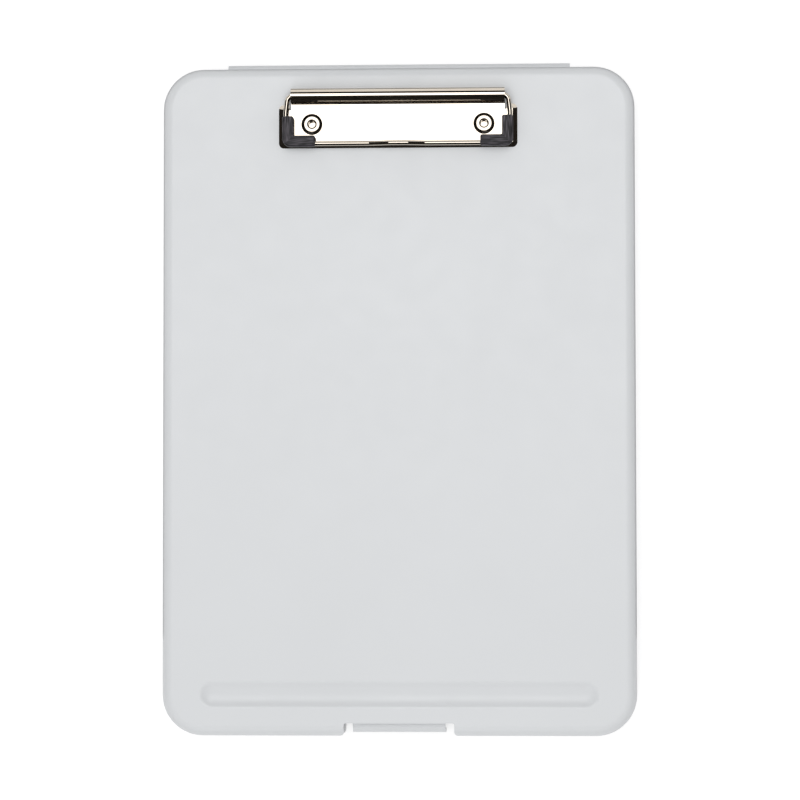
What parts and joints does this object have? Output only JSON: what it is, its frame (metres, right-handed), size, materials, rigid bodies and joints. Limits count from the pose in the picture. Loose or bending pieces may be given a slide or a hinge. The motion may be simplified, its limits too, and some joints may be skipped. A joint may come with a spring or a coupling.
{
  "type": "storage clipboard",
  "caption": "Shallow letter-size plastic box whose hinged lid is a writing board with a low-profile spring clip, a pen groove and a latch flap.",
  "frame": {"origin": "middle of the case outline on the back face, which it lies on", "axes": "+X across the board to the right when reading, +Y along the board to the hinge and clip, +Z out of the back face through the lid"},
  "size_m": [0.2376, 0.3383, 0.0315],
  "materials": {
    "case_plastic": "pale grey moulded polypropylene, gloss",
    "nickel_sheet": "nickel-plated pressed steel, bright",
    "nickel_rivet": "nickel-plated steel, bright",
    "nickel_wire": "nickel-plated spring wire, bright",
    "black_vinyl": "black soft vinyl, satin with fine striations"
  },
  "bodies": {
    "tray": {"base_tray": "case_plastic", "hinge_film": "case_plastic"},
    "lid": {"lid_panel": "case_plastic", "latch_film": "case_plastic", "clip_base_plate": "nickel_sheet", "left_rivet": "nickel_rivet", "right_rivet": "nickel_rivet"},
    "bail": {"clip_wire": "nickel_wire", "left_grip": "black_vinyl", "right_grip": "black_vinyl"},
    "latch": {"latch_flap": "case_plastic"}
  },
  "joints": [
    {"name": "lid_hinge", "type": "hinge", "parent": "tray", "child": "lid", "pos_m": [0, 0.1698, 0.014], "axis": [-1, 0, 0], "range_deg": [0, 180], "deforming": ["hinge_film"]},
    {"name": "bail_swing", "type": "hinge", "parent": "lid", "child": "bail", "pos_m": [0, 0.15285, 0.02775], "axis": [-1, 0, 0], "range_deg": [0, 100], "stiffness_Nm_per_rad": 0.2, "springref_deg": -68.75},
    {"name": "latch_swing", "type": "hinge", "parent": "lid", "child": "latch", "pos_m": [0, -0.1624, 0.019], "axis": [-1, 0, 0], "range_deg": [0, 100], "deforming": ["latch_film"]}
  ]
}
